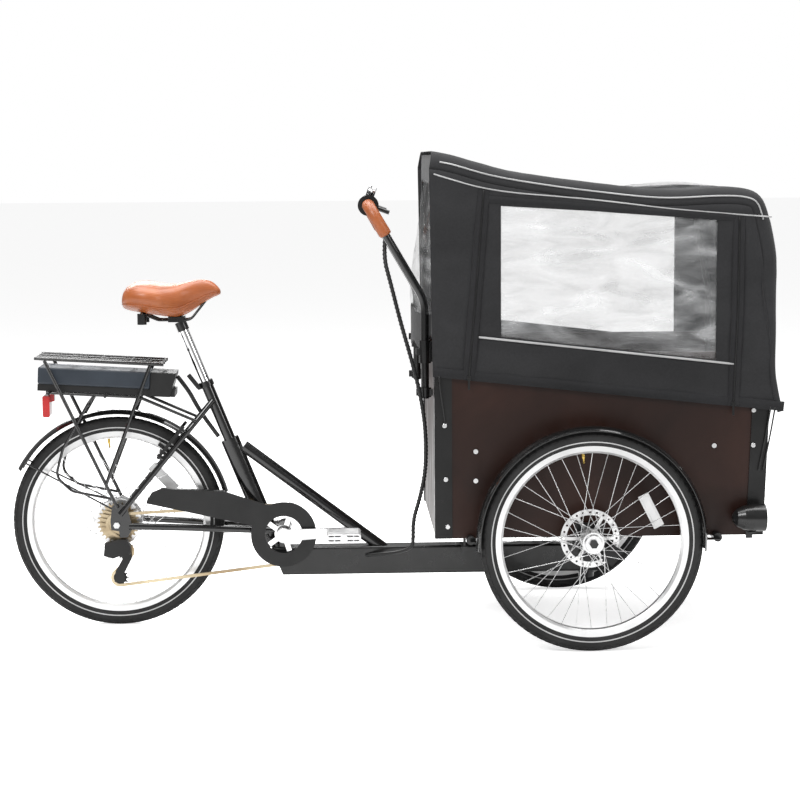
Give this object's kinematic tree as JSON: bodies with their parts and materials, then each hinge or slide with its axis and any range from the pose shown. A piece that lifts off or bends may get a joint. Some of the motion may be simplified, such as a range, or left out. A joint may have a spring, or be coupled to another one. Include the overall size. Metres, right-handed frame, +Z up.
{
  "type": "electric cargo tricycle",
  "caption": "Front-loading electric cargo cycle: a steered two-wheel box with a fabric canopy on a low frame with rear drive, hub motor, rack battery and saddle.",
  "frame": {"origin": "on the ground under the middle of the bounding box", "axes": "+X forwards along the vehicle, towards the box; +Y to the rider's left; +Z up"},
  "size_m": [2.136, 0.8958, 1.344],
  "materials": {
    "gloss_black": "gloss",
    "beam_black": "satin",
    "black_plastic": "satin",
    "wiring": "matte",
    "silver": "satin",
    "steel": "satin",
    "chromed": "polished",
    "tyre_rubber": "matte",
    "tan_leather": "satin",
    "plywood": "satin",
    "dark_metal": "satin",
    "canopy_cloth": "matte",
    "clear_film": "gloss",
    "battery_case": "satin",
    "red_lens": "gloss"
  },
  "bodies": {
    "frame": {"main_beam": "beam_black", "frame_tubes": "gloss_black", "chain_stays": "gloss_black", "seat_stays": "gloss_black", "seat_clamp": "gloss_black", "rear_axle": "silver", "rear_fender": "gloss_black", "rack_top": "gloss_black", "rack_sides": "gloss_black", "battery_tray": "gloss_black", "tail_light": "red_lens", "chain_guard": "black_plastic", "chain": "steel", "derailleur": "black_plastic", "frame_cables": "wiring"},
    "front": {"chassis": "gloss_black", "brake_calipers": "black_plastic", "box_panels": "plywood", "box_corners": "dark_metal", "box_screws": "steel", "front_fenders": "gloss_black", "headlight": "chromed", "canopy": "canopy_cloth", "canopy_windows": "clear_film", "canopy_hoops": "dark_metal", "bar_clamps": "gloss_black", "handlebar": "gloss_black", "grips": "tan_leather", "lever_mounts": "gloss_black", "harness_front": "wiring", "steering_damper": "silver"},
    "wheel_front_right": {"tyre_front_right": "tyre_rubber", "rim_front_right": "silver", "spokes_front_right": "steel", "hub_front_right": "silver"},
    "wheel_front_left": {"tyre_front_left": "tyre_rubber", "rim_front_left": "silver", "spokes_front_left": "steel", "hub_front_left": "silver"},
    "wheel_rear": {"tyre_rear": "tyre_rubber", "rim_rear": "silver", "spokes_rear": "steel", "hub_motor": "silver"},
    "crankset": {"crank_arms": "silver", "chainring": "chromed"},
    "cassette": {"cassette": "steel"},
    "guide_jockey": {"jockey_guide": "black_plastic"},
    "tension_jockey": {"jockey_tension": "black_plastic"},
    "right_pedal": {"pedal_right": "black_plastic"},
    "left_pedal": {"pedal_left": "black_plastic"},
    "seat": {"seat_post": "chromed", "saddle": "tan_leather", "saddle_clamp": "chromed"},
    "seat_quick_release": {"seat_lever": "black_plastic"},
    "battery_pack": {"battery": "battery_case"},
    "right_brake_lever": {"brake_lever_right": "chromed"},
    "left_brake_lever": {"brake_lever_left": "chromed"},
    "gear_shifter": {"gear_twist": "black_plastic"},
    "right_brake_arm": {"brake_arm_right": "black_plastic"},
    "left_brake_arm": {"brake_arm_left": "black_plastic"}
  },
  "joints": [
    {"name": "steering", "type": "hinge", "parent": "frame", "child": "front", "pos_m": [0.572, 0, 0.2], "axis": [0, 0, 1], "range_deg": [-30, 30]},
    {"name": "wheel_front_right_spin", "type": "hinge", "parent": "front", "child": "wheel_front_right", "pos_m": [0.535, -0.4, 0.3], "axis": [0, 1, 0], "continuous": true},
    {"name": "wheel_front_left_spin", "type": "hinge", "parent": "front", "child": "wheel_front_left", "pos_m": [0.535, 0.4, 0.3], "axis": [0, 1, 0], "continuous": true},
    {"name": "wheel_rear_spin", "type": "hinge", "parent": "frame", "child": "wheel_rear", "pos_m": [-0.768, 0, 0.3], "axis": [0, 1, 0], "continuous": true},
    {"name": "crank_spin", "type": "hinge", "parent": "frame", "child": "crankset", "pos_m": [-0.298, 0, 0.266], "axis": [0, 1, 0], "continuous": true},
    {"name": "cassette_spin", "type": "hinge", "parent": "frame", "child": "cassette", "pos_m": [-0.768, 0, 0.3], "axis": [0, 1, 0], "continuous": true},
    {"name": "jockey_guide_spin", "type": "hinge", "parent": "frame", "child": "guide_jockey", "pos_m": [-0.748, -0.053, 0.222], "axis": [0, 1, 0], "continuous": true},
    {"name": "jockey_tension_spin", "type": "hinge", "parent": "frame", "child": "tension_jockey", "pos_m": [-0.763, -0.053, 0.147], "axis": [0, 1, 0], "continuous": true},
    {"name": "pedal_right_spin", "type": "hinge", "parent": "crankset", "child": "right_pedal", "pos_m": [-0.12819, -0.13, 0.27401], "axis": [0, 1, 0], "continuous": true},
    {"name": "pedal_left_spin", "type": "hinge", "parent": "crankset", "child": "left_pedal", "pos_m": [-0.46781, 0.13, 0.25799], "axis": [0, 1, 0], "continuous": true},
    {"name": "seat_height", "type": "slide", "parent": "frame", "child": "seat", "axis": [-0.3714, 0, 0.9285], "range_m": [-0.1, 0.05]},
    {"name": "seat_quick_release", "type": "hinge", "parent": "frame", "child": "seat_quick_release", "pos_m": [-0.53392, -0.0183, 0.68322], "axis": [0.788, 0, 0.6157], "range_deg": [0, 150]},
    {"name": "battery_slide", "type": "slide", "parent": "frame", "child": "battery_pack", "axis": [-0.9982, 0, 0.0593], "range_m": [0, 0.3]},
    {"name": "brake_lever_right", "type": "hinge", "parent": "front", "child": "right_brake_lever", "pos_m": [-0.04143, -0.145, 1.22797], "axis": [0.9404, 0, -0.3401], "range_deg": [0, 8], "stiffness_Nm_per_rad": 0.8, "springref_deg": -11.46},
    {"name": "brake_lever_left", "type": "hinge", "parent": "front", "child": "left_brake_lever", "pos_m": [-0.04143, 0.145, 1.22797], "axis": [-0.9404, 0, 0.3401], "range_deg": [0, 8], "stiffness_Nm_per_rad": 0.8, "springref_deg": -11.46},
    {"name": "brake_arm_right", "type": "hinge", "parent": "frame", "child": "right_brake_arm", "pos_m": [-0.63209, -0.05138, 0.48057], "axis": [-0.7671, 0, 0.6415], "range_deg": [0, 3]},
    {"name": "brake_arm_left", "type": "hinge", "parent": "frame", "child": "left_brake_arm", "pos_m": [-0.63209, 0.05138, 0.48057], "axis": [-0.7671, 0, 0.6415], "range_deg": [-3, 0]},
    {"name": "gear_twist", "type": "hinge", "parent": "front", "child": "gear_shifter", "pos_m": [-0.053, -0.179, 1.196], "axis": [0, 1, 0], "range_deg": [0, 120]}
  ],
  "couplings": [
    {"joint": "cassette_spin", "follows": "crank_spin", "ratio": 3},
    {"joint": "jockey_guide_spin", "follows": "crank_spin", "ratio": -3.8182},
    {"joint": "jockey_tension_spin", "follows": "crank_spin", "ratio": 3.8182},
    {"joint": "brake_arm_right", "follows": "brake_lever_right", "ratio": 0.375},
    {"joint": "brake_arm_left", "follows": "brake_lever_right", "ratio": -0.375}
  ]
}
